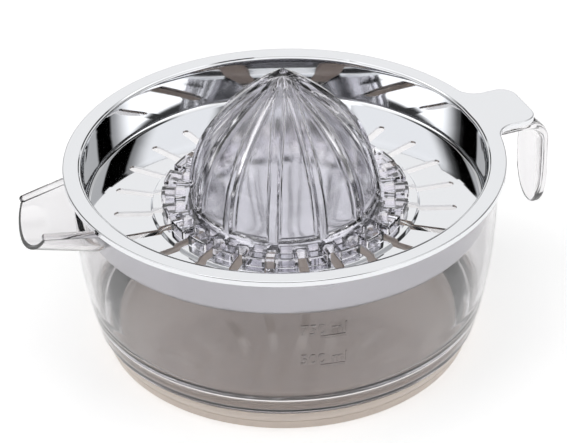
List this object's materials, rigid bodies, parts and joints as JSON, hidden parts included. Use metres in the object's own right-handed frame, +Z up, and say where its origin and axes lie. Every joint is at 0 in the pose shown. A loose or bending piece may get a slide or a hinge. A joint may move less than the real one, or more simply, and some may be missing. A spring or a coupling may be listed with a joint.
{
  "type": "hand citrus juicer",
  "caption": "Hand citrus juicer: clear jug with spout, open handle and fill marks on a soft foot pad, pressed strainer dish with a thumb tab, and a ribbed clear reaming cone.",
  "frame": {"origin": "centre of the foot pad's flat underside, on the jug's axis", "axes": "+Z up along the jug's axis, +X towards the handle and the thumb tab, -X towards the spout"},
  "size_m": [0.2098, 0.1664, 0.1126],
  "materials": {
    "foot_pad": "satin, translucent",
    "jug": "clear, polished",
    "strainer_dish": "mirror polished stainless steel, with a fine brushed floor",
    "reamer": "clear, polished"
  },
  "bodies": {
    "jug": {"jug": "jug", "foot_pad": "foot_pad"},
    "dish": {"strainer_dish": "strainer_dish"},
    "reamer": {"reamer": "reamer"}
  },
  "joints": [
    {"name": "dish_lift", "type": "slide", "parent": "jug", "child": "dish", "axis": [0, 0, 1], "range_m": [0, 0.04]},
    {"name": "reamer_lift", "type": "slide", "parent": "dish", "child": "reamer", "axis": [0, 0, 1], "range_m": [0, 0.04]}
  ]
}
